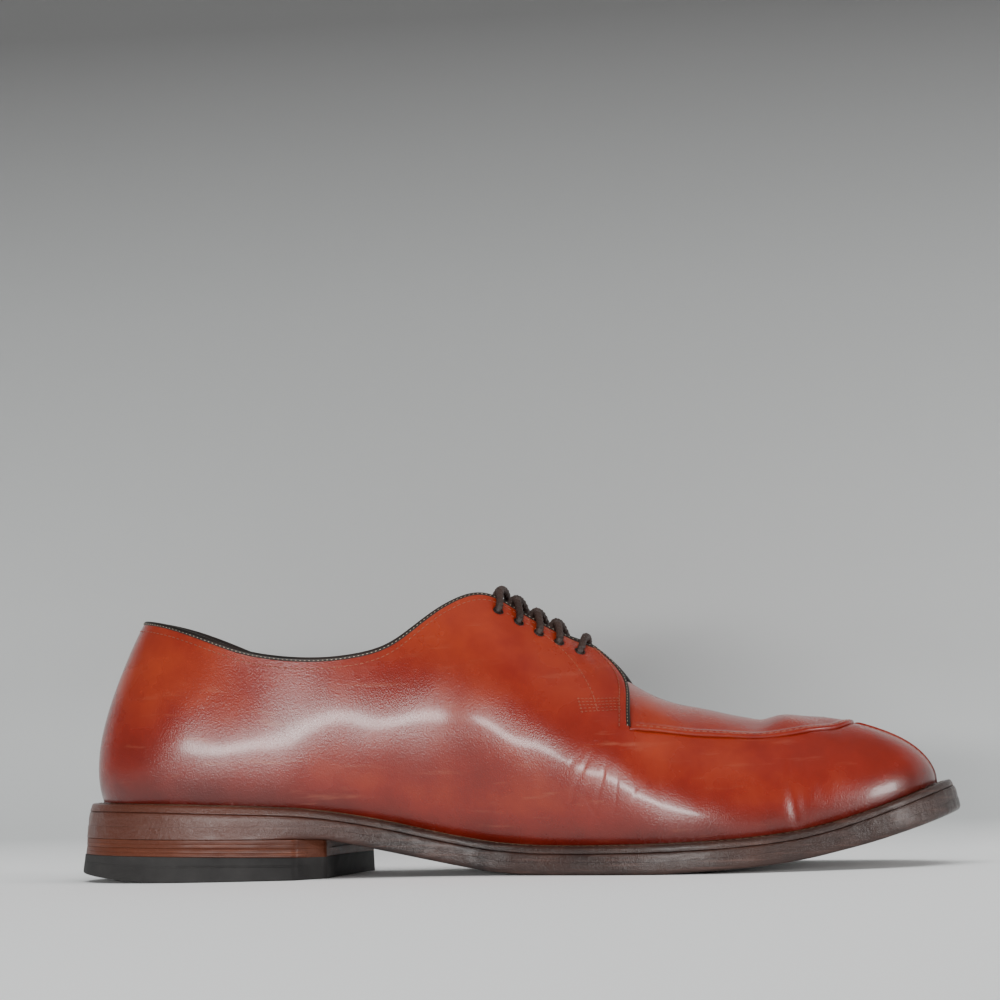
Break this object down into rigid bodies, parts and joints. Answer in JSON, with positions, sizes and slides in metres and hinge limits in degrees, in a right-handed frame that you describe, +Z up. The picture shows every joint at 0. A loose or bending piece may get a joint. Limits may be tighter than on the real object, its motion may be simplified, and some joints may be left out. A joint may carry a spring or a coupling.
{
  "type": "split toe derby shoe",
  "caption": "Left split toe derby dress shoe in burnished red-brown leather, laced over a closed tongue, on a welted leather sole with a stacked heel.",
  "frame": {"origin": "centre of the shoe's box on the floor plane it stands on", "axes": "+X from heel to toe, +Y to the outer side of the left foot, +Z up"},
  "size_m": [0.3066, 0.1034, 0.0992],
  "materials": {
    "upper_leather": "burnished and polished",
    "lining_leather": "plain matte",
    "dark_binding": "dark, low sheen",
    "sole_leather": "dark dressed edge, slightly worn",
    "heel_leather": "dressed edge",
    "heel_rubber": "matte, worn",
    "waxed_lace": "waxed round cord"
  },
  "bodies": {
    "root": {"upper": "upper_leather", "tongue": "lining_leather", "insole": "lining_leather", "binding": "dark_binding", "welt": "sole_leather", "midsole": "sole_leather", "outsole": "sole_leather", "heel_lift_1": "heel_leather", "heel_lift_2": "heel_leather", "heel_top_piece": "heel_rubber", "lace_bar": "waxed_lace", "lace_crossing_1": "waxed_lace", "lace_crossing_2": "waxed_lace", "lace_crossing_3": "waxed_lace", "lace_crossing_4": "waxed_lace"}
  },
  "joints": []
}
